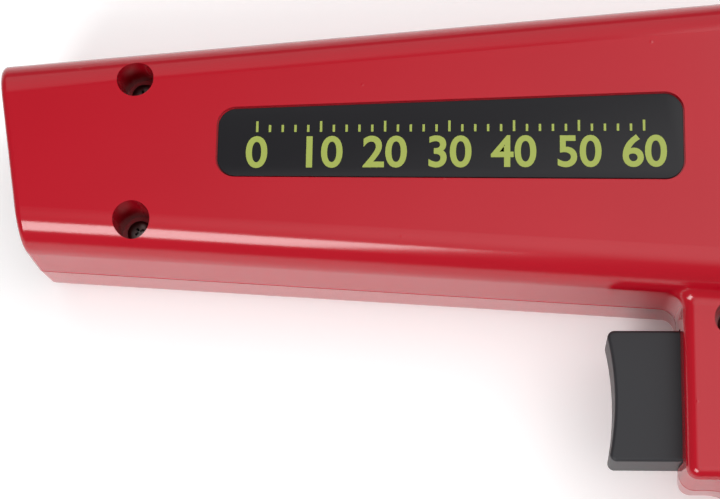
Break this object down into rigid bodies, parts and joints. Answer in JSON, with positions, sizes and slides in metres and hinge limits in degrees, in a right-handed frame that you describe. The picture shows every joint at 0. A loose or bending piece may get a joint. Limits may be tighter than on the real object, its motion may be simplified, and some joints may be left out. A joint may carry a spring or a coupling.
{
  "type": "timing light",
  "caption": "Pistol-grip xenon timing light: tapering gloss housing in two halves, recessed round lens, push trigger and cable grommet, lying on its side.",
  "frame": {"origin": "under the middle of the bounding box, on the surface that the right side lies on", "axes": "+X from the lens end of the barrel towards the rear, +Y towards the top of the barrel, +Z out of the left side"},
  "size_m": [0.22, 0.1848, 0.045],
  "materials": {
    "housing_red": "moulded gloss ABS with a fine moulding texture",
    "label_black": "printed vinyl plate, satin",
    "trigger_black": "moulded satin plastic",
    "bezel_black": "moulded satin plastic",
    "lens_clear": "polished optical plastic",
    "seal_rubber": "soft moulded rubber",
    "reflector_bright": "vacuum metallised",
    "holder_white": "moulded satin plastic",
    "tube_glass": "fire-polished glass",
    "nickel": "drawn wire, bright",
    "screw_steel": "zinc plated",
    "board_green": "solder mask over glass laminate",
    "ferrite": "sintered ferrite",
    "bobbin_plastic": "moulded nylon",
    "copper_winding": "enamelled copper wire",
    "capacitor_sleeve": "shrink sleeve",
    "coil_potting": "epoxy potting",
    "semiconductor": "moulded epoxy",
    "heat_sink_metal": "folded sheet, satin",
    "resistor_body": "lacquered",
    "spring_steel": "hard drawn wire",
    "switch_plastic": "moulded phenolic",
    "plunger_red": "moulded acetal",
    "terminal_brass": "stamped, bright",
    "lead_insulation": "extruded sleeve"
  },
  "bodies": {
    "housing": {"left_housing": "housing_red", "right_housing": "housing_red", "left_label": "label_black", "right_label": "label_black", "housing_screws": "screw_steel", "lens_bezel": "bezel_black", "front_lens": "lens_clear", "lens_gasket": "seal_rubber", "reflector": "reflector_bright", "reflector_holder": "holder_white", "flash_tube": "tube_glass", "tube_electrodes": "nickel", "tube_seat": "seal_rubber", "tube_trigger_wire": "nickel", "circuit_board": "board_green", "board_screws": "screw_steel", "transformer_core": "ferrite", "transformer_bobbin": "bobbin_plastic", "transformer_winding": "copper_winding", "storage_capacitor": "capacitor_sleeve", "filter_capacitor": "capacitor_sleeve", "trigger_coil": "coil_potting", "power_transistor": "semiconductor", "heat_sink": "heat_sink_metal", "rectifier_diodes": "semiconductor", "resistors": "resistor_body", "thyristor": "semiconductor", "trigger_spring": "spring_steel", "switch_body": "switch_plastic", "switch_lever_pin": "screw_steel", "switch_terminals": "terminal_brass", "switch_screws": "screw_steel", "lamp_leads": "lead_insulation", "switch_leads": "lead_insulation", "cable_grommet": "seal_rubber"},
    "trigger": {"trigger_button": "trigger_black"},
    "lever": {"switch_lever": "spring_steel"},
    "plunger": {"switch_plunger": "plunger_red"}
  },
  "joints": [
    {"name": "trigger_slide", "type": "slide", "parent": "housing", "child": "trigger", "axis": [1, 0, 0], "range_m": [0, 0.004], "stiffness_N_per_m": 900, "springref_m": -0.002, "deforming": ["trigger_spring"]},
    {"name": "lever_hinge", "type": "hinge", "parent": "housing", "child": "lever", "pos_m": [0.06925, -0.0195, 0.0225], "axis": [0, 0, -1], "range_deg": [0, 14.52]},
    {"name": "plunger_slide", "type": "slide", "parent": "housing", "child": "plunger", "axis": [1, 0, 0], "range_m": [0, 0.00137]}
  ],
  "couplings": [
    {"joint": "lever_hinge", "follows": "trigger_slide", "rad_per_m": 62.5},
    {"joint": "plunger_slide", "follows": "trigger_slide", "ratio": 0.3388}
  ]
}
